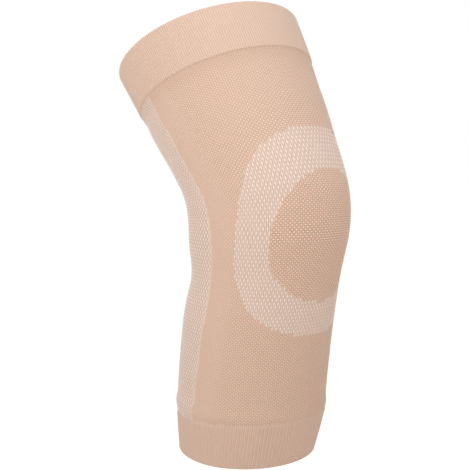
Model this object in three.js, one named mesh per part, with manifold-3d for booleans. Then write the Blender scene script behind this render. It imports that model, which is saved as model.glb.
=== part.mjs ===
// Knitted compression sleeve for a knee, in the slightly bent form it has when worn.
// Millimetres. +Z is up, the kneecap faces -Y, and the sleeve is alike on its +X and -X sides.
// The origin is inside the hollow, on the middle line, level with the kneecap.
// A place on the sleeve is given by its height along the middle line, its share of the way
// round from the middle of the front (0.5 is the middle of the back), and its depth in the wall.

import * as THREE from 'three';
import { mergeVertices } from 'three/addons/utils/BufferGeometryUtils.js';
import Module from 'manifold-3d';

// Main sizes.
const LENGTH = 320;
const KNEE_WIDTH = 110;
const KNEE_DEPTH = 118;
const WALL = 1.8;
const GAP = 0.3;

// Cuffs: doubled welts that stand a little proud of the sleeve.
const UPPER_CUFF_HEIGHT = 37.4;
const LOWER_CUFF_HEIGHT = 33;
const CUFF_PROUD = 0.8;
const RIM_ROUNDING = 0.7;

// The lower cuff sits a little higher at the front than at the back.
const LOWER_CUFF_SLANT = 4;
const SLANT_REACH = 35;

// Bend of the middle line: the shin leans one way, the thigh the other.
const SHIN_LEAN = THREE.MathUtils.degToRad(4);
const THIGH_LEAN = THREE.MathUtils.degToRad(32.5);
const UPPER_RIM_TILT = THREE.MathUtils.degToRad(22.5);
const BEND_HEIGHT = 46.4;
const BEND_LENGTH = 82;

// Oval zones round the kneecap: heights are half heights, spans are half shares of the girth.
// Squareness is the power of the oval's outline: 2 is an ellipse, more is squarer.
const KNEECAP_HEIGHT = 3.3;
const RING_OUTER_HEIGHT = 64;
const RING_INNER_HEIGHT = 40;
const RING_OUTER_SPAN = 0.195;
const RING_INNER_SPAN = 0.127;
const RING_OUTER_SQUARENESS = 2.3;
const RING_INNER_SQUARENESS = 2;

// Fineness of the faceted surfaces.
const COLUMNS = 42;
const BODY_ROWS = 26;
const CUFF_ROWS = 5;
const OVAL_SEGMENTS = 48;
const OVAL_STEPS = 6;
const PANEL_COLUMNS = 16;
const PANEL_ROWS = 26;
const SECTION_STEPS = 60;

// Cross-sections from the lower rim to the upper rim, evenly spaced along the middle line.
// width: half width as a share of KNEE_WIDTH.
// front, back: reach to either side of the middle line as shares of KNEE_DEPTH.
const SECTIONS = [
  { width: 0.457, front: 0.409, back: 0.489 },
  { width: 0.495, front: 0.47, back: 0.495 },
  { width: 0.498, front: 0.488, back: 0.492 },
  { width: 0.495, front: 0.509, back: 0.466 },
  { width: 0.488, front: 0.545, back: 0.432 },
  { width: 0.497, front: 0.582, back: 0.42 },
  { width: 0.512, front: 0.607, back: 0.428 },
  { width: 0.541, front: 0.558, back: 0.514 },
  { width: 0.569, front: 0.571, back: 0.564 },
  { width: 0.6, front: 0.606, back: 0.597 },
  { width: 0.631, front: 0.626, back: 0.629 },
];

// Folds and swells of the worn sleeve.
// height, reach: middle and half height of the fold as shares of half the LENGTH.
// around, span: middle and half width of the fold as shares of the girth.
// push: how far it stands out, as a share of KNEE_DEPTH.
const FOLDS = [
  { name: 'hollow_of_knee', height: -0.139, reach: 0.106, around: 0.5, span: 0.22, push: -0.039 },
  { name: 'kneecap_crown', height: 0.08, reach: 0.13, around: 0, span: 0.16, push: 0.017 },
  { name: 'swell_over_lower_cuff', height: -0.757, reach: 0.032, around: 0.5, span: 2, push: 0.009 },
  { name: 'crease_under_upper_cuff', height: 0.7, reach: 0.03, around: 0.4, span: 0.09, push: -0.007 },
];

// Front edges of the back panel, evenly spaced from the lower cuff to the upper cuff.
// edge: share of the girth from the middle of the front.
const PANEL_EDGES = [
  { edge: 0.258 },
  { edge: 0.249 },
  { edge: 0.247 },
  { edge: 0.275 },
  { edge: 0.283 },
];

const KNITS = {
  cuff: { color: 0xe3c6b0, roughness: 0.9, metalness: 0 },
  body: { color: 0xe0c0a8, roughness: 0.92, metalness: 0 },
  mesh: { color: 0xe6cfc0, roughness: 0.94, metalness: 0 },
};

// Lengths that follow the main sizes.
const KNEE_GIRTH = Math.PI * (KNEE_WIDTH + KNEE_DEPTH) / 2;
const LOWER_EDGE = LOWER_CUFF_HEIGHT - LENGTH / 2;
const UPPER_EDGE = LENGTH / 2 - UPPER_CUFF_HEIGHT;
const CUTTER_REACH = 4 * WALL;
const PROBE_HEIGHT = LENGTH / 640;
const PROBE_SHARE = PROBE_HEIGHT / KNEE_GIRTH;

const wasm = await Module();
wasm.setup();

/** Smooth curve through evenly spaced rows of three numbers. */
function rowCurve(rows) {
  return new THREE.CatmullRomCurve3(rows, false, 'catmullrom', 0.5);
}

const sectionCurve = rowCurve(SECTIONS.map((row) => new THREE.Vector3(
  row.width * KNEE_WIDTH,
  row.front * KNEE_DEPTH,
  row.back * KNEE_DEPTH,
)));
const edgeCurve = rowCurve(PANEL_EDGES.map((row) => new THREE.Vector3(row.edge, 0, 0)));

/** Share of the sleeve's length at a height, 0 at the lower rim and 1 at the upper rim. */
function lengthShare(height) {
  return THREE.MathUtils.clamp(height / LENGTH + 0.5, 0, 1);
}

/** Middle line at a height: its place from front to back and up, and the tilt of the section. */
function middleLine(height) {
  const shinTop = BEND_HEIGHT - BEND_LENGTH / 2;
  const radius = BEND_LENGTH / (SHIN_LEAN + THIGH_LEAN);
  const inShin = Math.min(height, shinTop);
  const inBend = THREE.MathUtils.clamp(height - shinTop, 0, BEND_LENGTH);
  const inThigh = Math.max(height - shinTop - BEND_LENGTH, 0);
  const lean = inBend / radius - SHIN_LEAN;
  return {
    y: radius * (Math.cos(SHIN_LEAN) - Math.cos(lean))
      - inShin * Math.sin(SHIN_LEAN) + inThigh * Math.sin(THIGH_LEAN),
    z: radius * (Math.sin(lean) + Math.sin(SHIN_LEAN))
      + inShin * Math.cos(SHIN_LEAN) + inThigh * Math.cos(THIGH_LEAN),
    tilt: UPPER_RIM_TILT * inBend / BEND_LENGTH,
  };
}

/** Point of a section in its own plane: across, and towards the front. */
function sectionPoint(section, angle) {
  const forward = Math.cos(angle);
  return {
    across: section.x * Math.sin(angle),
    forward: forward * (forward > 0 ? section.y : section.z),
  };
}

/** Running length along half a section, from the middle of the front to the middle of the back. */
function halfGirth(section) {
  const lengths = [0];
  let last = sectionPoint(section, 0);
  for (let step = 1; step <= SECTION_STEPS; step += 1) {
    const next = sectionPoint(section, Math.PI * step / SECTION_STEPS);
    const stride = Math.hypot(next.across - last.across, next.forward - last.forward);
    lengths.push(lengths[step - 1] + stride);
    last = next;
  }
  return lengths;
}

/** Angle of a section at which a share of its girth has been passed. */
function girthAngle(section, share) {
  const lengths = halfGirth(section);
  const goal = Math.abs(share) * 2 * lengths[SECTION_STEPS];
  let step = 1;
  while (step < SECTION_STEPS && lengths[step] < goal) {
    step += 1;
  }
  const part = (goal - lengths[step - 1]) / (lengths[step] - lengths[step - 1]);
  return Math.sign(share) * Math.PI * (step - 1 + part) / SECTION_STEPS;
}

/** Height along the middle line of a knit course, which rises at the front over the lower cuff. */
function courseHeight(share, height) {
  const up = (height - LOWER_EDGE) / SLANT_REACH;
  return height + LOWER_CUFF_SLANT * Math.cos(2 * Math.PI * share) * Math.exp(-up * up);
}

/** How far the folds push the sleeve out at a place. */
function foldPush(share, height) {
  return FOLDS.reduce((sum, fold) => {
    const up = (height / (LENGTH / 2) - fold.height) / fold.reach;
    const round = (Math.abs(share) - fold.around) / fold.span;
    return sum + fold.push * KNEE_DEPTH * Math.exp(-up * up - round * round);
  }, 0);
}

/** Point on the sleeve's outer face. */
function outerPoint(share, course) {
  const wrapped = share - Math.round(share);
  const height = courseHeight(wrapped, course);
  const section = sectionCurve.getPoint(lengthShare(height));
  const line = middleLine(height);
  const point = sectionPoint(section, girthAngle(section, wrapped));
  const grow = 1 + foldPush(wrapped, height) / Math.hypot(point.across, point.forward);
  const forward = point.forward * grow;
  return new THREE.Vector3(
    point.across * grow,
    line.y - forward * Math.cos(line.tilt),
    line.z + forward * Math.sin(line.tilt),
  );
}

/** Point at a depth below the outer face; a negative depth stands proud of it. */
function wallPoint(share, height, depth) {
  const around = outerPoint(share + PROBE_SHARE, height)
    .sub(outerPoint(share - PROBE_SHARE, height));
  const along = outerPoint(share, height + PROBE_HEIGHT)
    .sub(outerPoint(share, height - PROBE_HEIGHT));
  const outward = around.cross(along).normalize();
  return outerPoint(share, height).addScaledVector(outward, -depth);
}

/** Lays a closed geometry on the sleeve: place() turns each corner into share, height and depth. */
function layOnSleeve(geometry, place) {
  geometry.deleteAttribute('normal');
  geometry.deleteAttribute('uv');
  const corners = geometry.getAttribute('position');
  for (let i = 0; i < corners.count; i += 1) {
    const at = place(corners.getX(i), corners.getY(i), corners.getZ(i));
    const point = wallPoint(at.share, at.height, at.depth);
    corners.setXYZ(i, point.x, point.y, point.z);
  }
  return mergeVertices(geometry, 1e-3);
}

/** Solid made from a closed geometry. */
function toSolid(geometry) {
  return new wasm.Manifold(new wasm.Mesh({
    numProp: 3,
    vertProperties: new Float32Array(geometry.getAttribute('position').array),
    triVerts: new Uint32Array(geometry.getIndex().array),
  }));
}

/** Geometry made from a solid. */
function toGeometry(solid) {
  const mesh = solid.getMesh();
  const geometry = new THREE.BufferGeometry();
  geometry.setAttribute('position', new THREE.BufferAttribute(new Float32Array(mesh.vertProperties), 3));
  geometry.setIndex(new THREE.BufferAttribute(new Uint32Array(mesh.triVerts), 1));
  geometry.computeVertexNormals();
  return geometry;
}

/** Closed tube of the knit between two heights, with rounded ends where asked. */
function tube({ low, high, proud, rows, rounding }) {
  const outside = KNEE_WIDTH + proud;
  const inside = KNEE_WIDTH - WALL;
  const profile = [];
  for (let row = 0; row <= rows; row += 1) {
    profile.push([outside, THREE.MathUtils.lerp(low + rounding, high - rounding, row / rows)]);
  }
  if (rounding > 0) {
    profile.push([outside - rounding, high], [inside + rounding, high]);
  }
  for (let row = rows; row >= 0; row -= 1) {
    profile.push([inside, THREE.MathUtils.lerp(low + rounding, high - rounding, row / rows)]);
  }
  if (rounding > 0) {
    profile.push([inside + rounding, low], [outside - rounding, low]);
  }
  profile.push(profile[0]);
  const lathe = new THREE.LatheGeometry(profile.map(([x, y]) => new THREE.Vector2(x, y)), COLUMNS);
  return layOnSleeve(lathe, (x, y, z) => ({
    share: Math.atan2(x, z) / (2 * Math.PI),
    height: y,
    depth: KNEE_WIDTH - Math.hypot(x, z),
  }));
}

/** Oval plate laid over the kneecap, thick enough to cut right through the wall. */
function ovalPlate(halfHeight, halfSpan, squareness) {
  const profile = [];
  for (let step = 0; step <= OVAL_STEPS; step += 1) {
    profile.push(new THREE.Vector2(step / OVAL_STEPS, -CUTTER_REACH));
  }
  for (let step = OVAL_STEPS; step >= 0; step -= 1) {
    profile.push(new THREE.Vector2(step / OVAL_STEPS, CUTTER_REACH));
  }
  const plate = new THREE.LatheGeometry(profile, OVAL_SEGMENTS);
  return toSolid(layOnSleeve(plate, (x, y, z) => {
    const radius = Math.hypot(x, z);
    const power = (Math.abs(x) ** squareness + Math.abs(z) ** squareness) ** (1 / squareness);
    const swell = radius > 0 ? radius / power : 1;
    return {
      share: x * swell * halfSpan,
      height: KNEECAP_HEIGHT - z * swell * halfHeight,
      depth: -y,
    };
  }));
}

/** Plate in the outline of the whole ring, grown by a margin. */
function ringOval(margin) {
  const span = RING_OUTER_SPAN + margin / KNEE_GIRTH;
  return ovalPlate(RING_OUTER_HEIGHT + margin, span, RING_OUTER_SQUARENESS);
}

/** Plate in the outline of the kneecap panel, grown by a margin. */
function capOval(margin) {
  const span = RING_INNER_SPAN + margin / KNEE_GIRTH;
  return ovalPlate(RING_INNER_HEIGHT + margin, span, RING_INNER_SQUARENESS);
}

/** Plate over the back between the panel's two edges, moved outwards by a margin. */
function backPlate(margin) {
  const plate = new THREE.BoxGeometry(1, 1, 2 * CUTTER_REACH, PANEL_COLUMNS, PANEL_ROWS, 1);
  return toSolid(layOnSleeve(plate, (x, y, z) => {
    const edge = edgeCurve.getPoint(y + 0.5).x - margin / KNEE_GIRTH;
    return {
      share: 0.5 + 2 * x * (0.5 - edge),
      height: THREE.MathUtils.lerp(LOWER_EDGE - WALL, UPPER_EDGE + WALL, y + 0.5),
      depth: -z,
    };
  }));
}

/** Named mesh of one piece. */
function piece(name, knit, geometry) {
  const mesh = new THREE.Mesh(geometry, new THREE.MeshStandardMaterial(KNITS[knit]));
  mesh.name = name;
  return mesh;
}

/** The two ribbed cuffs at the rims. */
function cuffs() {
  const rounding = Math.min(RIM_ROUNDING, (WALL + CUFF_PROUD) / 3);
  const shared = { proud: CUFF_PROUD, rows: CUFF_ROWS, rounding };
  return [
    piece('upper_cuff', 'cuff', tube({ low: UPPER_EDGE, high: LENGTH / 2, ...shared })),
    piece('lower_cuff', 'cuff', tube({ low: -LENGTH / 2, high: LOWER_EDGE, ...shared })),
  ];
}

/** The knit between the cuffs, parted into its zones. */
function sleeveZones() {
  const wall = toSolid(tube({
    low: LOWER_EDGE + GAP,
    high: UPPER_EDGE - GAP,
    proud: 0,
    rows: BODY_ROWS,
    rounding: 0,
  }));
  const front = wall.subtract(backPlate(GAP));
  const capSeat = capOval(GAP);
  return [
    piece('sleeve_body', 'body', toGeometry(front.subtract(ringOval(GAP)).subtract(capSeat))),
    piece('kneecap_ring', 'mesh', toGeometry(front.intersect(ringOval(0)).subtract(capSeat))),
    piece('kneecap_panel', 'body', toGeometry(front.intersect(capOval(0)))),
    piece('back_panel', 'mesh', toGeometry(wall.intersect(backPlate(0)))),
  ];
}

const kneeSleeve = new THREE.Group();
kneeSleeve.add(...cuffs(), ...sleeveZones());

export default kneeSleeve;
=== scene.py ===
"""Knitted knee sleeve in its worn form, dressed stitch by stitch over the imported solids.

Metres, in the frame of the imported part: +Z is up, the kneecap faces -Y, and the origin is inside
the hollow, level with the kneecap. A place on the sleeve is a share of the girth, counted from
the middle of the front, a height along the middle line, and a depth in the wall.
"""
import logging
import math
from dataclasses import dataclass, field, replace
from enum import Enum
from functools import cached_property

import bpy
import numpy as np
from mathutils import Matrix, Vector


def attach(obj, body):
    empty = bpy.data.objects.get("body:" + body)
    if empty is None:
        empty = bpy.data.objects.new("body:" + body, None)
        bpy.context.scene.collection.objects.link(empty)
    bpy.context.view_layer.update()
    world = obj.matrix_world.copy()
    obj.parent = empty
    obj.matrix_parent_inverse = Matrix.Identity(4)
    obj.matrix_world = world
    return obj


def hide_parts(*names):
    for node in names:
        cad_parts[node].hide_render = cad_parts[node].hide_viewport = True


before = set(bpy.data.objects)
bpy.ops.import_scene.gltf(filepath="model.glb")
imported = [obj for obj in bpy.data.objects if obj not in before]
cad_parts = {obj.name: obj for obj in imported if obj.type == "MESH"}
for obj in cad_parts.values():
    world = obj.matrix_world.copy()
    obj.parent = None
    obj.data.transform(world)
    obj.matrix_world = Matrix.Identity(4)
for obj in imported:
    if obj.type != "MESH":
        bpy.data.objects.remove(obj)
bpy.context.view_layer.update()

# The map and the marks that a mesh carries for its knit, and the corners of a plain face.
STITCH_MAP = "Stitches"
PLAIN_MARK = "plain_hem"
# Painted shade: the knit just beside the cuff seams is darkened where the cuffs' edges cast shade.
SEAM_SHADE_MARK = "painted_seam_shade"
QUAD = 4

# The colour sockets of a mix node: two go in and one comes out.
MIX_FIRST, MIX_SECOND, MIX_COLOUR = 6, 7, 2

Colour = tuple[float, float, float]
Place = tuple[float, float, float]
Array = np.ndarray
Socket = bpy.types.NodeSocket

log = logging.getLogger("knee_sleeve")


class Zone(Enum):
    """Pieces of the sleeve, by the names of the solids that they stand for."""

    UPPER_CUFF = "upper_cuff"
    LOWER_CUFF = "lower_cuff"
    BODY = "sleeve_body"
    RING = "kneecap_ring"
    KNEECAP = "kneecap_panel"
    BACK = "back_panel"


class Knit(Enum):
    """Kinds of knit on the sleeve, by how many courses their pattern takes to repeat."""

    RIBBED = 1
    DOTTED = 2
    MESH = 4


@dataclass(frozen=True)
class Fold:
    """Fold or swell of the worn sleeve.

    Height and reach are shares of half the length, around and span are shares of the girth, and
    push is a share of the knee's depth.
    """

    height: float
    reach: float
    around: float
    span: float
    push: float


def smooth_rows(rows: Array, share: Array) -> Array:
    """Read a smooth curve through evenly spaced rows.

    Args:
        rows: One row of numbers for each evenly spaced place.
        share: Places to read, from 0 at the first row to 1 at the last.

    Returns:
        One row of numbers for each place.
    """
    last = len(rows) - 1
    ends = (2 * rows[:1] - rows[1:2], rows, 2 * rows[-1:] - rows[-2:-1])
    padded = np.concatenate(ends)
    place = np.clip(share, 0.0, 1.0) * last
    step = np.minimum(place.astype(int), last - 1)
    part = (place - step)[:, None]
    before, start, end, after = (padded[step + shift] for shift in range(4))
    cubic = -0.5 * before + 1.5 * start - 1.5 * end + 0.5 * after
    square = before - 2.5 * start + 2.0 * end - 0.5 * after
    return ((cubic * part + square) * part + 0.5 * (end - before)) * part + start


def bell(offset: Array) -> Array:
    """Fall off in a bell curve, from 1 where the offset is 0."""
    return np.exp(-offset * offset)


def ease(part: Array) -> Array:
    """Rise softly from 0 to 1 as the part goes from 0 to 1."""
    part = np.clip(part, 0.0, 1.0)
    return part * part * (3 - 2 * part)


@dataclass(frozen=True)
class LegForm:
    """Worn form of the sleeve: a bent middle line with a section at every height.

    Each row of sections holds the half width as a share of the knee's width, and the reaches to
    the front and to the back as shares of its depth. The rows run from the shin rim up to the
    thigh rim, evenly spaced. Half a girth is measured in section_steps, the probe is the step
    that finds which way the outer face looks, and a batch of places is laid at a time.
    """

    length: float = 0.320
    knee_width: float = 0.110
    knee_depth: float = 0.118
    wall: float = 0.0018
    upper_cuff: float = 0.0384
    lower_cuff: float = 0.033
    slant: float = 0.004
    slant_reach: float = 0.035
    shin_lean: float = math.radians(4.0)
    thigh_lean: float = math.radians(32.5)
    rim_tilt: float = math.radians(22.5)
    bend_height: float = 0.0464
    bend_length: float = 0.082
    upper_crease: float = 0.0002
    lower_crease: float = 0.00015
    crease_reach: float = 0.0038
    section_steps: int = 60
    probe: float = 0.0005
    batch: int = 20000
    sections: tuple[tuple[float, float, float], ...] = (
        (0.457, 0.409, 0.489),
        (0.495, 0.470, 0.495),
        (0.498, 0.488, 0.492),
        (0.495, 0.509, 0.466),
        (0.488, 0.545, 0.432),
        (0.497, 0.582, 0.420),
        (0.512, 0.607, 0.428),
        (0.541, 0.558, 0.514),
        (0.569, 0.571, 0.564),
        (0.600, 0.606, 0.597),
        (0.631, 0.626, 0.629),
    )
    folds: tuple[Fold, ...] = (
        Fold(height=-0.139, reach=0.106, around=0.5, span=0.22, push=-0.039),
        Fold(height=0.08, reach=0.13, around=0.0, span=0.16, push=0.017),
        Fold(height=-0.757, reach=0.032, around=0.5, span=2.0, push=0.009),
        Fold(height=0.7, reach=0.03, around=0.4, span=0.09, push=-0.007),
    )

    @property
    def lower_edge(self) -> float:
        """Height at which the lower cuff ends and the sleeve proper begins."""
        return self.lower_cuff - self.length / 2

    @property
    def upper_edge(self) -> float:
        """Height at which the sleeve proper ends and the upper cuff begins."""
        return self.length / 2 - self.upper_cuff

    def section(self, height: Array) -> Array:
        """Read the size of the section at each height.

        Args:
            height: Heights along the middle line.

        Returns:
            Half width, reach to the front and reach to the back, one row for each height.
        """
        rows = np.array(self.sections)
        rows = rows * (self.knee_width, self.knee_depth, self.knee_depth)
        return smooth_rows(rows, height / self.length + 0.5)

    def middle_line(self, height: Array) -> tuple[Array, Array, Array]:
        """Follow the middle line through shin, bend and thigh.

        Args:
            height: Heights along the middle line.

        Returns:
            Place from front to back, place upwards, and tilt of the section.
        """
        shin_top = self.bend_height - self.bend_length / 2
        radius = self.bend_length / (self.shin_lean + self.thigh_lean)
        shin = np.minimum(height, shin_top)
        bend = np.clip(height - shin_top, 0.0, self.bend_length)
        thigh = np.maximum(height - shin_top - self.bend_length, 0.0)
        lean = bend / radius - self.shin_lean
        back = radius * (math.cos(self.shin_lean) - np.cos(lean))
        back = back - shin * math.sin(self.shin_lean) + thigh * math.sin(self.thigh_lean)
        up = radius * (np.sin(lean) + math.sin(self.shin_lean))
        up = up + shin * math.cos(self.shin_lean) + thigh * math.cos(self.thigh_lean)
        return back, up, self.rim_tilt * bend / self.bend_length

    def girth_angle(self, section: Array, share: Array) -> Array:
        """Find the angle of each section at which a share of its girth has been passed.

        Args:
            section: Half width and the two reaches, one row for each place.
            share: Share of the girth from the middle of the front, at most half.

        Returns:
            One angle for each place, with the sign of its share.
        """
        turn = np.linspace(0.0, math.pi, self.section_steps + 1)
        forward = np.cos(turn)
        reach = np.where(forward > 0, section[:, 1:2], section[:, 2:3])
        across = section[:, 0:1] * np.sin(turn)
        stride = np.hypot(np.diff(across, axis=1), np.diff(forward * reach, axis=1))
        passed = np.cumsum(stride, axis=1)
        goal = np.abs(share) * 2 * passed[:, -1]
        step = np.minimum((passed < goal[:, None]).sum(axis=1), self.section_steps - 1)
        row = np.arange(len(step))
        part = (goal - passed[row, step] + stride[row, step]) / stride[row, step]
        return np.sign(share) * math.pi * (step + part) / self.section_steps

    def course_height(self, share: Array, height: Array) -> Array:
        """Raise the courses at the front over the lower cuff."""
        up = (height - self.lower_edge) / self.slant_reach
        return height + self.slant * np.cos(2 * math.pi * share) * bell(up)

    def fold_push(self, share: Array, height: Array) -> Array:
        """Sum what the folds add to the form.

        Args:
            share: Shares of the girth.
            height: Heights along the middle line.

        Returns:
            How far each place is pushed out.
        """
        push = np.zeros_like(height)
        for fold in self.folds:
            up = (height / (self.length / 2) - fold.height) / fold.reach
            around = (np.abs(share) - fold.around) / fold.span
            push += fold.push * self.knee_depth * np.exp(-up * up - around * around)
        return push

    def beside_cuffs(self, height: Array, reach: float, lower: float, upper: float) -> Array:
        """Spread an effect of the cuffs' seams over the knit beside them.

        Args:
            height: Heights along the middle line.
            reach: Distance over which the effect dies away.
            lower: Effect at the seam of the lower cuff.
            upper: Effect at the seam of the upper cuff.

        Returns:
            The effect at each height.
        """
        below = bell((height - self.lower_edge) / reach)
        above = bell((height - self.upper_edge) / reach)
        return lower * below + upper * above

    def cuff_crease(self, height: Array) -> Array:
        """Depth of the soft crease that runs beside each cuff."""
        return self.beside_cuffs(height, self.crease_reach, self.lower_crease, self.upper_crease)

    def outer(self, share: Array, course: Array) -> Array:
        """Lay places on the sleeve's outer face.

        Args:
            share: Shares of the girth.
            course: Heights along the middle line, before the courses slant.

        Returns:
            One point for each place.
        """
        wrapped = share - np.round(share)
        height = self.course_height(wrapped, course)
        section = self.section(height)
        angle = self.girth_angle(section, wrapped)
        forward = np.cos(angle)
        forward = forward * np.where(forward > 0, section[:, 1], section[:, 2])
        across = section[:, 0] * np.sin(angle)
        grow = 1 + self.fold_push(wrapped, height) / np.hypot(across, forward)
        back, up, tilt = self.middle_line(height)
        forward = forward * grow
        y = back - forward * np.cos(tilt)
        z = up + forward * np.sin(tilt)
        return np.stack([across * grow, y, z], axis=1)

    def place(self, share: Array, height: Array, depth: Array) -> Array:
        """Lay places at a depth below the outer face; a negative depth stands proud.

        Args:
            share: Shares of the girth.
            height: Heights along the middle line, before the courses slant.
            depth: Depths below the outer face.

        Returns:
            One point for each place.
        """
        girth = math.pi * (self.knee_width + self.knee_depth) / 2
        beside = self.probe / girth
        points = np.empty((len(share), 3))
        for first in range(0, len(share), self.batch):
            part = slice(first, first + self.batch)
            spot, level = share[part], height[part]
            around = self.outer(spot + beside, level) - self.outer(spot - beside, level)
            along = self.outer(spot, level + self.probe) - self.outer(spot, level - self.probe)
            outward = np.cross(around, along)
            outward /= np.linalg.norm(outward, axis=1)[:, None]
            points[part] = self.outer(spot, level) - outward * depth[part, None]
        return points


@dataclass(frozen=True)
class Oval:
    """Outline round the kneecap, by half its span, as a share of the girth, and half its height."""

    span: float
    height: float
    squareness: float
    middle: float = 0.0033

    def holds(self, share: Array, height: Array) -> Array:
        """Tell which places lie inside the oval.

        Args:
            share: Shares of the girth.
            height: Heights along the middle line.

        Returns:
            True for each place inside.
        """
        across = np.abs(share / self.span) ** self.squareness
        along = np.abs((height - self.middle) / self.height) ** self.squareness
        return across + along < 1.0


@dataclass(frozen=True)
class StitchChart:
    """Chart of the knit between the cuffs: wales round the leg, courses along it.

    The course pitches are rows of a smooth curve from the lower cuff up to the upper one. Only
    their proportion counts, since the courses always fill the height between the cuffs. The
    panel edges are such rows too, as shares of the girth.
    """

    form: LegForm
    wales: int = 248
    courses: int = 208
    cell: int = 2
    hem_wales: float = 1.2
    hem_fade: float = 0.5
    hem_slack: float = 1.5
    # Reach of the painted shade beside the cuff seams, and its strength at the lower seam.
    shade_reach: float = 0.009
    shade_below: float = 0.2
    margin_wales: float = 5.0
    margin_fade: float = 15.0
    margin_plain: float = 0.8
    course_pitch: tuple[float, ...] = (
        1.20, 1.24, 1.25, 1.25, 1.28, 1.33, 1.31, 1.05, 1.18, 1.19, 1.12, 1.08, 1.08,
    )
    panel_edges: tuple[float, ...] = (0.258, 0.249, 0.247, 0.275, 0.283)
    ring: Oval = Oval(span=0.195, height=0.064, squareness=2.3)
    cap: Oval = Oval(span=0.127, height=0.040, squareness=2.0)
    fineness: int = 4

    @cached_property
    def heights(self) -> Array:
        """Stack the courses by their pitch.

        Returns:
            Heights of the courses and of the fine rows between them.
        """
        share = np.linspace(0.0, 1.0, self.courses * self.fineness + 1)
        pitch = smooth_rows(np.array(self.course_pitch)[:, None], share)[:, 0]
        passed = np.concatenate([[0.0], np.cumsum((pitch[1:] + pitch[:-1]) / 2)])
        span = self.form.upper_edge - self.form.lower_edge
        return self.form.lower_edge + span * passed / passed[-1]

    def height(self, course: Array) -> Array:
        """Height along the middle line of each course."""
        rows = np.arange(len(self.heights)) / self.fineness
        return np.interp(course, rows, self.heights)

    def panel_edge(self, height: Array) -> Array:
        """Follow the edge of the back panel, whose table ends one wall past either seam.

        Args:
            height: Heights along the middle line.

        Returns:
            Share of the girth at which the panel begins, at each height.
        """
        slack = self.form.wall
        reach = self.form.upper_edge - self.form.lower_edge + 2 * slack
        along = (height - self.form.lower_edge + slack) / reach
        rows = np.array(self.panel_edges)[:, None]
        return smooth_rows(rows, along.ravel())[:, 0].reshape(height.shape)

    def inward(self, share: Array, height: Array) -> Array:
        """Count how many wales a place lies behind the edge of the back panel."""
        around = np.abs(share - np.round(share))
        return (around - self.panel_edge(height)) * self.wales

    def hem(self, share: Array, height: Array) -> Array:
        """Mark the plain wales along the edges of the back panel.

        Args:
            share: Shares of the girth.
            height: Heights along the middle line.

        Returns:
            1 on the plain wales, 0 in the mesh behind them and in front of them.
        """
        inward = self.inward(share, height)
        plain = np.clip(self.hem_wales + self.hem_fade - inward, 0.0, 1.0)
        return plain * (inward > -self.hem_slack)

    def seam_shade(self, height: Array) -> Array:
        """Mark the painted shade that the cuffs' edges cast on the knit beside them, fully at the
        upper one.
        """
        return self.form.beside_cuffs(height, self.shade_reach, self.shade_below, 1.0)

    def margin(self, share: Array, height: Array) -> Array:
        """Mark where the fine knit runs plainer, beside the back panel.

        Args:
            share: Shares of the girth.
            height: Heights along the middle line.

        Returns:
            How plain the knit is, fading to 0 towards the front.
        """
        forward = -self.inward(share, height) - self.margin_wales
        return self.margin_plain * (1 - ease(forward / self.margin_fade))

    def cells(self, zone: Zone, start: int) -> Array:
        """Mark the cells of one zone; a cell is one wale wide and a few courses high.

        Args:
            zone: The zone to mark.
            start: Wale at which the chart is cut open, counted from the front.

        Returns:
            Table of wales by cells, true inside the zone.
        """
        wales, lows = np.arange(self.wales), np.arange(0, self.courses, self.cell)
        wale, low = np.meshgrid(wales, lows, indexing="ij")
        share = (start + wale + 0.5) / self.wales
        share = share - np.round(share)
        height = self.height(low + self.cell / 2)
        in_ring, in_cap = self.ring.holds(share, height), self.cap.holds(share, height)
        in_back = np.abs(share) > self.panel_edge(height)
        choice = {
            Zone.BACK: in_back,
            Zone.KNEECAP: in_cap,
            Zone.RING: in_ring & ~in_cap,
            Zone.BODY: ~(in_back | in_ring | in_cap),
        }
        return choice[zone]


@dataclass(frozen=True)
class Relief:
    """Raised stitches of a knit, as a height over the sleeve's outer face."""

    knit: Knit
    dots: float
    wales: float
    courses: float

    def height(self, wale: Array, course: Array) -> Array:
        """Read the relief.

        Args:
            wale: Places across the knit, in wales.
            course: Places along the knit, in courses.

        Returns:
            Height of the knit over the smooth face, in metres.
        """
        along = np.sin(2 * math.pi * course / self.knit.value)
        dots = np.sin(math.pi * wale) * along
        columns = -np.cos(2 * math.pi * wale)
        rows = -np.cos(4 * math.pi * course / self.knit.value)
        return self.dots * dots + self.wales * columns + self.courses * rows


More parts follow.
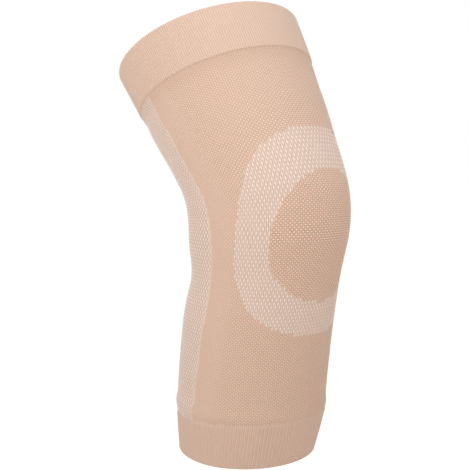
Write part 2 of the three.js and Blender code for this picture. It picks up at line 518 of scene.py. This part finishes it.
class NodeBench:
    """Wiring of the nodes of one material."""

    def __init__(self, name: str) -> None:
        """Start an empty material.

        Args:
            name: Name of the material.
        """
        self.material = bpy.data.materials.new(name)
        self.material.use_nodes = True
        self.nodes = self.material.node_tree.nodes
        self.links = self.material.node_tree.links
        self.shader = next(n for n in self.nodes if n.type == "BSDF_PRINCIPLED")

    def add(self, kind: str, **settings: object) -> bpy.types.Node:
        """Add a node and set its options.

        Args:
            kind: Blender's name for the kind of node.
            settings: Options of the node by name.

        Returns:
            The new node.
        """
        node = self.nodes.new(kind)
        for key, value in settings.items():
            setattr(node, key, value)
        return node

    def feed(self, socket: Socket, value: object) -> None:
        """Link a socket to another, or set its value.

        Args:
            socket: The socket that takes it.
            value: A socket to link, or a number or colour to set.
        """
        if isinstance(value, Socket):
            self.links.new(value, socket)
        else:
            socket.default_value = value

    def math(self, operation: str, *values: object) -> Socket:
        """Combine numbers.

        Args:
            operation: Name of the math node's operation.
            values: Sockets or numbers that go in.

        Returns:
            The socket with the outcome.
        """
        node = self.add("ShaderNodeMath", operation=operation)
        for socket, value in zip(node.inputs, values):
            self.feed(socket, value)
        return node.outputs[0]

    def blend(self, share: object, first: object, second: object) -> Socket:
        """Blend two colours.

        Args:
            share: How much of the second colour shows.
            first: Colour at 0.
            second: Colour at 1.

        Returns:
            The socket with the blended colour.
        """
        node = self.add("ShaderNodeMix", data_type="RGBA")
        self.feed(node.inputs[0], share)
        self.feed(node.inputs[MIX_FIRST], first)
        self.feed(node.inputs[MIX_SECOND], second)
        return node.outputs[MIX_COLOUR]

    def mark(self, name: str) -> Socket:
        """Socket with a mark that the mesh carries."""
        return self.add("ShaderNodeAttribute", attribute_name=name).outputs["Fac"]

    def wave(self, kind: str, place: Socket, period: float) -> Socket:
        """Socket with a sine or a cosine that repeats along a place, with that period."""
        return self.math(kind, self.math("MULTIPLY", place, 2 * math.pi / period))

    def noise(self, size: float, detail: float) -> Socket:
        """Noise that sits on the object.

        Args:
            size: Size of its patches in metres.
            detail: How many finer layers it has.

        Returns:
            The socket with its value, about 0.5 on the whole.
        """
        at = self.add("ShaderNodeTexCoord")
        node = self.add("ShaderNodeTexNoise")
        self.links.new(at.outputs["Object"], node.inputs["Vector"])
        node.inputs["Scale"].default_value = 1.0 / size
        node.inputs["Detail"].default_value = detail
        return node.outputs["Fac"]


class KnitBench(NodeBench):
    """Wiring of a knit, with each point's place in the knit and its yarn at hand."""

    def __init__(self, name: str, yarn_size: float, yarn_detail: float) -> None:
        """Start the material of a knit.

        Args:
            name: Name of the material.
            yarn_size: Size of the yarn's fluff in metres.
            yarn_detail: How many finer layers the fluff has.
        """
        super().__init__(name)
        at = self.add("ShaderNodeUVMap", uv_map=STITCH_MAP)
        parts = self.add("ShaderNodeSeparateXYZ")
        self.links.new(at.outputs[0], parts.inputs[0])
        self.wale, self.course = parts.outputs[0], parts.outputs[1]
        self.yarn = self.noise(yarn_size, yarn_detail)


@dataclass(frozen=True)
class KnitFinish:
    """Yarn colours and stitch pattern of one knit.

    Dots, columns and rows are the strengths of the pattern's light and dark, and even is its
    value where the knit runs plain. The course is the height of a course in the cuffs.
    """

    name: str
    slot: str
    knit: Knit
    pit: Colour
    lift: Colour
    melange: Colour
    dots: float
    columns: float
    rows: float = 0.0
    ground: float = 0.5
    even: float = 0.5
    # How far the painted shade beside the cuff seams pulls the colour towards the pit colour.
    shade_share: float = 0.34
    course: float = 0.0014
    yarn_size: float = 0.0011
    yarn_detail: float = 2.0
    yarn_share: float = 0.5
    cloud_size: float = 0.03
    cloud_detail: float = 3.0
    melange_share: float = 0.35
    roughness: float = 0.86
    rough_spread: float = 0.16
    gloss: float = 0.25
    sheen: float = 0.25
    sheen_roughness: float = 0.5
    sheen_tint: Colour = (1.0, 0.96, 0.92)
    stitch_bump: float = 0.35
    bump_height: float = 0.0003
    leg_slant: float = 1.3
    leg_bump: float = 0.35
    gutter_bump: float = 0.25
    yarn_bump: float = 0.8

    def dress(self, piece: bpy.types.Object, zone: Zone) -> None:
        """Give a piece its knit and put it in the solid's place.

        Args:
            piece: The piece to dress.
            zone: The zone whose solid it stands for.
        """
        found = bpy.data.materials.get(self.name)
        piece.data.materials.append(found or self.material())
        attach(piece, "root")
        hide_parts(zone.value)

    def material(self) -> bpy.types.Material:
        """Wire the knit's colour, roughness, bump and sheen.

        Returns:
            The material.
        """
        bench = KnitBench(self.name, self.yarn_size, self.yarn_detail)
        inputs = bench.shader.inputs
        bench.feed(inputs["Base Color"], self.colour(bench))
        smoothest = self.roughness - self.rough_spread / 2
        rough = bench.math("MULTIPLY_ADD", bench.yarn, self.rough_spread, smoothest)
        bench.feed(inputs["Roughness"], rough)
        bump = bench.add("ShaderNodeBump")
        bump.inputs["Strength"].default_value = self.stitch_bump
        bump.inputs["Distance"].default_value = self.bump_height
        bench.feed(bump.inputs["Height"], self.stitches(bench))
        bench.feed(inputs["Normal"], bump.outputs["Normal"])
        inputs["Sheen Weight"].default_value = self.sheen
        inputs["Sheen Roughness"].default_value = self.sheen_roughness
        inputs["Sheen Tint"].default_value = (*self.sheen_tint, 1.0)
        inputs["Specular IOR Level"].default_value = self.gloss
        return bench.material

    def colour(self, bench: KnitBench) -> Socket:
        """Colour the knit from pit to lift, blend it with its melange, and darken it towards the
        pit colour beside the cuff seams as painted shade.

        Args:
            bench: The material being wired.

        Returns:
            The socket with the colour.
        """
        pit, lift, melange = ((*colour, 1.0) for colour in (self.pit, self.lift, self.melange))
        plain = bench.mark(PLAIN_MARK)
        patterned = bench.math("SUBTRACT", 1.0, plain)
        even = bench.math("MULTIPLY", plain, self.even)
        pattern = bench.math("MULTIPLY_ADD", self.pattern(bench), patterned, even)
        uneven = bench.math("SUBTRACT", bench.yarn, 0.5)
        spread = bench.math("MULTIPLY_ADD", uneven, self.yarn_share, pattern)
        dotted = bench.blend(spread, pit, lift)
        cloud = bench.noise(self.cloud_size, self.cloud_detail)
        mixed = bench.blend(bench.math("MULTIPLY", cloud, self.melange_share), dotted, melange)
        # Painted shade beside the cuff seams: blend towards the pit colour.
        seam_shaded = bench.math("MULTIPLY", bench.mark(SEAM_SHADE_MARK), self.shade_share)
        return bench.blend(seam_shaded, mixed, pit)

    def pattern(self, bench: KnitBench) -> Socket:
        """Lay out the light dots, columns and rows of the knit.

        Args:
            bench: The material being wired.

        Returns:
            The socket with the pattern, 0 in the pits and 1 on the dots.
        """
        columns = bench.wave("COSINE", bench.wale, period=1)
        total = bench.math("MULTIPLY_ADD", columns, -self.columns / 2, self.ground)
        if self.knit is Knit.RIBBED:
            return total
        across = bench.wave("SINE", bench.wale, period=2)
        along = bench.wave("SINE", bench.course, self.knit.value)
        dots = bench.math("MULTIPLY", across, along)
        total = bench.math("MULTIPLY_ADD", dots, self.dots / 2, total)
        rows = bench.wave("COSINE", bench.course, self.knit.value / 2)
        return bench.math("MULTIPLY_ADD", rows, -self.rows / 2, total)

    def stitches(self, bench: KnitBench) -> Socket:
        """Raise the two legs of every stitch and the fluff of the yarn.

        Args:
            bench: The material being wired.

        Returns:
            The socket with the height of the bump.
        """
        aside = bench.math("PINGPONG", bench.wale, 0.5)
        slanted = bench.math("MULTIPLY_ADD", aside, self.leg_slant, bench.course)
        legs = bench.math("MULTIPLY", bench.wave("SINE", slanted, period=1), self.leg_bump)
        gutter = bench.wave("COSINE", bench.wale, period=1)
        shaped = bench.math("MULTIPLY_ADD", gutter, -self.gutter_bump, legs)
        return bench.math("MULTIPLY_ADD", bench.yarn, self.yarn_bump, shaped)


@dataclass
class MeshDraft:
    """Corners and faces of one piece before it becomes a Blender mesh.

    Quads and walls are four-sided; the walls are cut edges, and fans have any number of sides.
    """

    points: Array
    knit_place: Array
    plain: Array
    # Painted shade beside the cuff seams, one value for each point.
    seam_shade: Array
    quads: Array
    walls: Array
    fans: list[list[int]] = field(default_factory=list)

    def build(self, name: str) -> bpy.types.Object:
        """Make the mesh and its object.

        Args:
            name: Name of the piece.

        Returns:
            The object, linked to the scene.
        """
        quads = np.concatenate([self.quads, self.walls])
        fans = np.array([corner for fan in self.fans for corner in fan], dtype=int)
        fan_sizes = np.array([len(fan) for fan in self.fans], dtype=int)
        corners = np.concatenate([quads.ravel(), fans])
        sizes = np.concatenate([np.full(len(quads), QUAD), fan_sizes])
        starts = np.concatenate([[0], np.cumsum(sizes)[:-1]])
        mesh = bpy.data.meshes.new(name)
        mesh.vertices.add(len(self.points))
        mesh.vertices.foreach_set("co", self.points.astype(np.float32).ravel())
        mesh.loops.add(len(corners))
        mesh.loops.foreach_set("vertex_index", corners.astype(np.int32))
        mesh.polygons.add(len(sizes))
        mesh.polygons.foreach_set("loop_start", starts.astype(np.int32))
        mesh.update(calc_edges=True)
        layer = mesh.uv_layers.new(name=STITCH_MAP)
        layer.uv.foreach_set("vector", self.uvs(corners).ravel())
        mesh.polygons.foreach_set("use_smooth", np.ones(len(sizes), dtype=bool))
        self.sharpen(mesh, len(self.quads) * QUAD, len(quads) * QUAD)
        for mark_name, values in ((PLAIN_MARK, self.plain), (SEAM_SHADE_MARK, self.seam_shade)):
            mark = mesh.attributes.new(mark_name, "FLOAT", "POINT")
            mark.data.foreach_set("value", values.astype(np.float32))
        mesh.validate()
        piece = bpy.data.objects.new(name, mesh)
        bpy.context.scene.collection.objects.link(piece)
        return piece

    def uvs(self, corners: Array) -> Array:
        """Wale and course of each face corner, by the corner's point number."""
        return self.knit_place[corners].astype(np.float32)

    @staticmethod
    def sharpen(mesh: bpy.types.Mesh, first: int, end: int) -> None:
        """Keep the shading apart where the cut walls meet the faces of the knit.

        Args:
            mesh: The mesh to mark.
            first: First face corner of the walls.
            end: Face corner after the last of the walls.
        """
        edge = np.empty(len(mesh.loops), dtype=np.int32)
        mesh.loops.foreach_get("edge_index", edge)
        wall = np.zeros(len(mesh.edges), dtype=bool)
        face = np.zeros(len(mesh.edges), dtype=bool)
        wall[edge[first:end]] = True
        face[edge[:first]] = True
        face[edge[end:]] = True
        sharp = mesh.attributes.new("sharp_edge", "BOOLEAN", "EDGE")
        sharp.data.foreach_set("value", wall & face)


@dataclass
class CuffDraft(MeshDraft):
    """Corners and faces of a cuff, whose ribs run on round the rim without a break."""

    wales: int = 0

    def uvs(self, corners: Array) -> Array:
        """Give each face corner its place in the knit, also where the ring closes.

        Args:
            corners: Point number of each face corner; all faces are four-sided.

        Returns:
            Wale and course of each corner.
        """
        uv = super().uvs(corners)
        ring = uv.reshape(-1, QUAD, 2)
        closing = np.ptp(ring[:, :, 0], axis=1) > self.wales / 2
        wrapped = closing[:, None] & (ring[:, :, 0] < self.wales / 2)
        ring[:, :, 0] += wrapped * self.wales
        return uv


@dataclass
class SleevePiece:
    """One piece of the sleeve, which stands for the solid of its zone."""

    zone: Zone
    finish: KnitFinish

    def draft(self) -> MeshDraft:
        """Lay out the corners and faces, which each kind of piece does in its own way."""
        raise NotImplementedError

    def build(self) -> bpy.types.Object:
        """Build the piece and dress it in its knit.

        Returns:
            The finished piece.
        """
        piece = self.draft().build(f"{self.zone.value}_knit")
        self.finish.dress(piece, self.zone)
        return piece


@dataclass
class ZonePanel(SleevePiece):
    """One knit zone between the cuffs: raised stitches outside, a plainer face inside.

    The chart is cut open at the starting wale, and each stitch has a few faces across and up.
    """

    chart: StitchChart
    relief: Relief
    start: int
    per_wale: int
    per_course: int

    def draft(self) -> MeshDraft:
        """Lay out the zone's corners and faces.

        Returns:
            The closed shell of the zone.
        """
        rows = self.chart.cell * self.per_course
        cells = self.chart.cells(self.zone, self.start)
        fine = np.repeat(np.repeat(cells, self.per_wale, axis=0), rows, axis=1)
        meeting = self.cells_meeting(fine)
        used, rim = meeting > 0, (meeting > 0) & (meeting < 4)
        grid = np.zeros_like(used)
        grid[::self.per_wale, ::rows] = True
        lined = rim | (used & grid)
        outer_id = np.full(used.shape, -1)
        outer_id[used] = np.arange(used.sum())
        inner_id = np.full(used.shape, -1)
        inner_id[lined] = used.sum() + np.arange(lined.sum())
        at = np.concatenate([np.argwhere(used), np.argwhere(lined)])
        wale = self.start + at[:, 0] / self.per_wale
        course = at[:, 1] / self.per_course
        share, height = wale / self.chart.wales, self.chart.height(course)
        plain = self.plainness(share, height)
        outer = slice(0, used.sum())
        raised = self.relief.height(wale[outer], course[outer]) * (1 - plain[outer])
        crease = self.chart.form.cuff_crease(height[outer])
        depth = np.full(len(at), self.chart.form.wall)
        depth[outer] = crease - np.where(rim[used], 0.0, raised)
        return MeshDraft(
            points=self.chart.form.place(share, height, depth),
            knit_place=np.stack([wale, course], axis=1),
            plain=plain,
            # Painted shade beside the cuff seams.
            seam_shade=self.chart.seam_shade(height),
            quads=self.outer_faces(fine, outer_id),
            walls=self.cut_walls(fine, outer_id, inner_id),
            fans=self.lining(cells, rows, inner_id),
        )

    def plainness(self, share: Array, height: Array) -> Array:
        """Mark how plain the knit runs, beside the edge of the back panel.

        Args:
            share: Shares of the girth.
            height: Heights along the middle line.

        Returns:
            1 where the knit is plain, 0 where it shows its full pattern.
        """
        if self.zone is Zone.BACK:
            return self.chart.hem(share, height)
        if self.zone is Zone.BODY:
            return self.chart.margin(share, height)
        return np.zeros(len(share))

    @staticmethod
    def cells_meeting(fine: Array) -> Array:
        """Count the fine cells of the zone that meet at each corner.

        Args:
            fine: Fine cells of the zone.

        Returns:
            From 0 to 4 cells for each corner of the grid.
        """
        padded = np.pad(fine, 1).astype(int)
        return padded[:-1, :-1] + padded[1:, :-1] + padded[:-1, 1:] + padded[1:, 1:]

    @staticmethod
    def outer_faces(fine: Array, outer_id: Array) -> Array:
        """Cover the fine cells of the zone.

        Args:
            fine: Fine cells of the zone.
            outer_id: Point numbers of the outer corners.

        Returns:
            Four-sided faces, turned outwards.
        """
        i, j = np.nonzero(fine)
        corners = [outer_id[i, j], outer_id[i + 1, j], outer_id[i + 1, j + 1], outer_id[i, j + 1]]
        return np.stack(corners, axis=1)

    def lining(self, cells: Array, rows: int, inner_id: Array) -> list[list[int]]:
        """Close the inside, cell by cell, meeting every fine corner on the outline.

        Args:
            cells: Cells of the zone.
            rows: Fine rows in a cell.
            inner_id: Point numbers of the inner corners.

        Returns:
            Corner lists of the inner faces, turned inwards.
        """
        columns = self.per_wale
        padded = np.pad(cells, 1)
        faces = []
        for i, j in np.argwhere(cells):
            left, right, low, high = i * columns, (i + 1) * columns, j * rows, (j + 1) * rows
            step_low = columns if padded[i + 1, j] else 1
            step_right = rows if padded[i + 2, j + 1] else 1
            step_high = columns if padded[i + 1, j + 2] else 1
            step_left = rows if padded[i, j + 1] else 1
            ring = [inner_id[p, low] for p in range(left, right, step_low)]
            ring += [inner_id[right, q] for q in range(low, high, step_right)]
            ring += [inner_id[p, high] for p in range(right, left, -step_high)]
            ring += [inner_id[left, q] for q in range(high, low, -step_left)]
            faces.append(ring[::-1])
        return faces

    @staticmethod
    def cut_walls(fine: Array, outer_id: Array, inner_id: Array) -> Array:
        """Join the outer and inner faces along the zone's outline.

        Args:
            fine: Fine cells of the zone.
            outer_id: Point numbers of the outer corners.
            inner_id: Point numbers of the inner corners.

        Returns:
            Four-sided wall faces, turned outwards.
        """
        padded = np.pad(fine, 1)
        here = padded[1:-1, 1:-1]
        sides = (
            (here & ~padded[1:-1, :-2], (0, 0), (1, 0)),
            (here & ~padded[2:, 1:-1], (1, 0), (1, 1)),
            (here & ~padded[1:-1, 2:], (1, 1), (0, 1)),
            (here & ~padded[:-2, 1:-1], (0, 1), (0, 0)),
        )
        walls = []
        for open_side, start, end in sides:
            i, j = np.nonzero(open_side)
            first = (i + start[0], j + start[1])
            second = (i + end[0], j + end[1])
            corners = [outer_id[second], outer_id[first], inner_id[first], inner_id[second]]
            walls.append(np.stack(corners, axis=1))
        return np.concatenate(walls)


@dataclass
class CuffBand(SleevePiece):
    """Ribbed, doubled welt round one rim, standing a little proud of the sleeve.

    Each rib is per_rib faces wide and shows wales_per_rib wales of its finish. The outer face
    rolls up from the seam, with fine_rows over the first fine_rolls lengths of the roll.
    """

    form: LegForm
    seam: float
    rim: float
    ribs: int
    per_rib: int
    rib_height: float
    wales_per_rib: int = 1
    rib_middle: float = 0.6
    rounding: float = 0.0011
    proud: float = 0.0007
    roll: float = 0.0014
    swell: float = 0.0001
    swell_reach: float = 0.005
    fine_rolls: float = 3.0
    fine_rows: int = 12
    rows: int = 14
    lining_rows: int = 6
    arc_steps: int = 4

    def outer_depth(self, away: Array) -> tuple[Array, Array]:
        """Roll the outer face up from the seam.

        Args:
            away: Distances from the seam.

        Returns:
            Depth of the face, and the share of the rib relief there.
        """
        rise = ease(away / self.roll)
        swell = self.swell * bell((away - self.roll) / self.swell_reach)
        crease = self.form.cuff_crease(np.full_like(away, self.seam))
        depth = crease * (1 - rise) - (self.proud + swell) * rise
        return depth, rise

    def profile(self) -> Array:
        """Walk round the cut of the cuff, from the seam over the rim and back inside.

        Returns:
            Height, depth and share of the rib relief for each step of the way.
        """
        length, wall = abs(self.rim - self.seam), self.form.wall
        shoulder = length - self.rounding
        fine_end = self.fine_rolls * self.roll
        near = np.linspace(0.0, fine_end, self.fine_rows)
        far = np.linspace(fine_end, shoulder, self.rows)[1:]
        away = np.concatenate([near, far])
        depth, rise = self.outer_depth(away)
        turn = np.linspace(0.0, math.pi / 2, self.arc_steps + 1)
        over = shoulder + self.rounding * np.sin(turn)
        outer_arc = -self.proud + self.rounding * (1 - np.cos(turn))
        inner_arc = wall - self.rounding * (1 - np.cos(turn))
        lining = np.linspace(shoulder, 0.0, self.lining_rows)[1:]
        away = np.concatenate([away, over[1:], over[::-1], lining])
        flat = np.full(len(lining), wall)
        depth = np.concatenate([depth, outer_arc[1:], inner_arc[::-1], flat])
        fade = np.cos(turn[1:]) ** 2
        weight = np.concatenate([rise, fade, np.zeros(len(away) - len(rise) - len(fade))])
        if self.rim > self.seam:
            return np.stack([self.seam + away, depth, weight], axis=1)
        return np.stack([self.seam - away, depth, weight], axis=1)[::-1]

    def draft(self) -> MeshDraft:
        """Sweep the cut round the rim, with the ribs raised on its outer face.

        Returns:
            The closed ring of the cuff.
        """
        profile = self.profile()
        around = self.ribs * self.per_rib
        count = len(profile)
        rib = np.arange(around) / self.per_rib
        share = np.tile(rib / self.ribs - 0.5, count)
        height, depth, weight = (np.repeat(profile[:, k], around) for k in range(3))
        wave = 0.5 - 0.5 * np.cos(2 * math.pi * np.tile(rib, count))
        raised = self.rib_height * weight * (np.sqrt(wave) - self.rib_middle)
        ring = np.arange(around)
        after = (ring + 1) % around
        quads = []
        for step in range(count):
            here, above = step * around, (step + 1) % count * around
            corners = [here + ring, here + after, above + after, above + ring]
            quads.append(np.stack(corners, axis=1))
        course = np.abs(height - self.seam) / self.finish.course
        return CuffDraft(
            points=self.form.place(share, height, depth - raised),
            knit_place=np.stack([np.tile(rib * self.wales_per_rib, count), course], axis=1),
            plain=np.zeros(len(share)),
            seam_shade=np.zeros(len(share)),
            quads=np.concatenate(quads[:-1]),
            walls=quads[-1],
            wales=self.ribs * self.wales_per_rib,
        )


@dataclass
class KneeSleeve:
    """The whole sleeve: two cuffs and the four knit zones between them."""

    form: LegForm = field(default_factory=LegForm)
    rib: KnitFinish = KnitFinish(
        name="ribbed_cuff_knit",
        slot="cuff_knit",
        knit=Knit.RIBBED,
        pit=(0.64, 0.435, 0.32),
        lift=(0.79, 0.565, 0.44),
        melange=(0.75, 0.52, 0.395),
        dots=0.0,
        columns=1.1,
    )
    dotted: KnitFinish = KnitFinish(
        name="dotted_body_knit",
        slot="body_knit",
        knit=Knit.DOTTED,
        pit=(0.57, 0.37, 0.26),
        lift=(0.90, 0.645, 0.50),
        melange=(0.74, 0.51, 0.385),
        melange_share=0.2,
        dots=1.15,
        columns=0.7,
        rows=0.75,
    )
    mesh: KnitFinish = KnitFinish(
        name="mesh_zone_knit",
        slot="mesh_knit",
        knit=Knit.MESH,
        pit=(0.62, 0.43, 0.325),
        lift=(1.0, 0.83, 0.73),
        melange=(0.80, 0.60, 0.49),
        melange_share=0.2,
        ground=0.4,
        dots=0.65,
        columns=0.6,
        rows=0.18,
    )

    def zones(self) -> list[ZonePanel]:
        """Plan the four knit zones, each with its chart cut open on the far side of the leg.

        Returns:
            One panel for each zone, in the order of building.
        """
        chart = StitchChart(self.form)
        fine = Relief(Knit.DOTTED, dots=0.00014, wales=0.00008, courses=0.00006)
        close = Relief(Knit.DOTTED, dots=0.00008, wales=0.00012, courses=0.00012)
        open_knit = Relief(Knit.MESH, dots=0.00014, wales=0.00011, courses=0.00003)
        loose = Relief(Knit.MESH, dots=0.00026, wales=0.00015, courses=0.0)
        behind = replace(self.mesh, name="back_mesh_knit", dots=1.2, rows=0.2)
        cap = replace(
            self.dotted,
            name="kneecap_knit",
            pit=(0.53, 0.335, 0.23),
            lift=(0.95, 0.685, 0.535),
        )
        back = -chart.wales // 2
        return [
            ZonePanel(Zone.BODY, self.dotted, chart, fine, start=back, per_wale=2, per_course=2),
            ZonePanel(Zone.RING, self.mesh, chart, open_knit, start=back, per_wale=4, per_course=3),
            ZonePanel(Zone.KNEECAP, cap, chart, close, start=back, per_wale=4, per_course=4),
            ZonePanel(Zone.BACK, behind, chart, loose, start=0, per_wale=2, per_course=1),
        ]

    def cuffs(self) -> list[CuffBand]:
        """Plan the two cuffs.

        Returns:
            The upper cuff and the lower cuff.
        """
        upper = CuffBand(
            zone=Zone.UPPER_CUFF,
            form=self.form,
            finish=self.rib,
            seam=self.form.upper_edge,
            rim=self.form.length / 2,
            ribs=260,
            per_rib=6,
            rib_height=0.00007,
        )
        lower = replace(
            upper,
            zone=Zone.LOWER_CUFF,
            seam=self.form.lower_edge,
            rim=-self.form.length / 2,
            ribs=128,
            per_rib=8,
            rib_height=0.00042,
            wales_per_rib=2,
            proud=0.0005,
            roll=0.0022,
            swell=0.0,
        )
        return [upper, lower]

    def build(self) -> list[bpy.types.Object]:
        """Build and dress every piece.

        Returns:
            The finished pieces.
        """
        pieces = []
        for plan in (*self.cuffs(), *self.zones()):
            piece = plan.build()
            log.info("%s: %d faces", piece.name, len(piece.data.polygons))
            pieces.append(piece)
        return pieces


def stand_off(
    holder: bpy.types.Object,
    target: Place,
    azimuth: float,
    elevation: float,
    distance: float,
) -> None:
    """Stand a camera or a lamp off from a point, facing it, and add it to the scene.

    Args:
        holder: The camera or the lamp.
        target: The point that it faces.
        azimuth: Degrees round from the front of the sleeve, positive towards +X.
        elevation: Degrees up.
        distance: Distance from the point.
    """
    around, up = math.radians(azimuth), math.radians(elevation)
    level = math.cos(up)
    back = Vector((math.sin(around) * level, -math.cos(around) * level, math.sin(up)))
    holder.location = Vector(target) + back * distance
    holder.rotation_euler = (-back).to_track_quat("-Z", "Y").to_euler()
    bpy.context.scene.collection.objects.link(holder)


@dataclass(frozen=True)
class SoftBox:
    """Large soft lamp of the studio."""

    name: str
    azimuth: float
    elevation: float
    power: float
    distance: float = 1.2
    size: float = 0.9
    colour: Colour = (0.93, 1.0, 1.07)

    def build(self) -> None:
        """Hang the lamp and turn it to the sleeve."""
        lamp = bpy.data.lights.new(self.name, "AREA")
        lamp.shape = "DISK"
        lamp.size = self.size
        lamp.energy = self.power
        lamp.color = self.colour
        holder = bpy.data.objects.new(self.name, lamp)
        stand_off(holder, (0.0, 0.0, 0.0), self.azimuth, self.elevation, self.distance)


@dataclass(frozen=True)
class Studio:
    """Pale studio with soft light, seen from the photograph's side."""

    azimuth: float = -42.05
    elevation: float = 5.0
    distance: float = 0.584
    lens: float = 60.1
    sensor: float = 36.0
    near_clip: float = 0.01
    target: Place = (-0.01359, 0.01226, 0.00537)
    floor_height: float = -0.6
    floor_size: float = 40.0
    floor_colour: Colour = (0.93, 0.93, 0.93)
    floor_roughness: float = 0.9
    floor_glow: float = 0.84
    glow_from: float = 0.3
    glow_full: float = 1.1
    room: Colour = (0.255, 0.215, 0.183)
    backdrop: Colour = (1.0, 1.0, 1.0)
    boxes: tuple[SoftBox, ...] = (
        SoftBox("left_box", azimuth=-100.0, elevation=45.0, power=4.0),
        SoftBox("front_box", azimuth=-45.0, elevation=45.0, power=4.7),
        SoftBox(
            "overhead_box",
            azimuth=10.0,
            elevation=76.0,
            power=4.2,
            distance=1.1,
            colour=(0.90, 1.0, 1.11),
        ),
    )

    def camera(self) -> None:
        """Stand the camera where the photograph was taken from."""
        lens = bpy.data.cameras.new("photo_camera")
        lens.lens = self.lens
        lens.sensor_width = self.sensor
        lens.clip_start = self.near_clip
        holder = bpy.data.objects.new("photo_camera", lens)
        stand_off(holder, self.target, self.azimuth, self.elevation, self.distance)
        bpy.context.scene.camera = holder

    def floor(self) -> None:
        """Lay the pale floor well below the sleeve, glowing more the further off it is."""
        half = self.floor_size / 2
        corners = [(-half, -half), (half, -half), (half, half), (-half, half)]
        mesh = bpy.data.meshes.new("studio_floor")
        mesh.from_pydata([(x, y, 0.0) for x, y in corners], [], [(0, 1, 2, 3)])
        floor = bpy.data.objects.new("studio_floor", mesh)
        floor.location.z = self.floor_height
        bench = NodeBench("pale_floor")
        inputs = bench.shader.inputs
        inputs["Base Color"].default_value = (*self.floor_colour, 1.0)
        inputs["Roughness"].default_value = self.floor_roughness
        inputs["Emission Color"].default_value = (*self.backdrop, 1.0)
        at = bench.add("ShaderNodeTexCoord")
        away = bench.add("ShaderNodeVectorMath", operation="LENGTH")
        bench.links.new(at.outputs["Object"], away.inputs[0])
        glow = bench.add("ShaderNodeMapRange")
        glow.inputs["From Min"].default_value = self.glow_from
        glow.inputs["From Max"].default_value = self.glow_full
        glow.inputs["To Max"].default_value = self.floor_glow
        bench.links.new(away.outputs["Value"], glow.inputs["Value"])
        bench.feed(inputs["Emission Strength"], glow.outputs["Result"])
        mesh.materials.append(bench.material)
        bpy.context.scene.collection.objects.link(floor)

    def light(self) -> None:
        """Fill the room with soft light before a white backdrop, and hang the soft boxes."""
        world = bpy.data.worlds.new("pale_room")
        world.use_nodes = True
        nodes, links = world.node_tree.nodes, world.node_tree.links
        seen = nodes.new("ShaderNodeLightPath")
        tone = nodes.new("ShaderNodeMix")
        tone.data_type = "RGBA"
        tone.inputs[MIX_FIRST].default_value = (*self.room, 1.0)
        tone.inputs[MIX_SECOND].default_value = (*self.backdrop, 1.0)
        links.new(seen.outputs["Is Camera Ray"], tone.inputs[0])
        links.new(tone.outputs[MIX_COLOUR], nodes["Background"].inputs[0])
        bpy.context.scene.world = world
        for box in self.boxes:
            box.build()

    def build(self) -> None:
        """Set up camera, floor and light, and show whites as they are."""
        self.camera()
        self.floor()
        self.light()
        bpy.context.scene.view_settings.view_transform = "Standard"


def main() -> None:
    """Build the studio and the sleeve, and log the pieces."""
    logging.basicConfig(level=logging.INFO, format="%(name)s %(message)s")
    Studio().build()
    pieces = KneeSleeve().build()
    log.info("%d pieces stand for the solids", len(pieces))


if __name__ == "__main__":
    main()
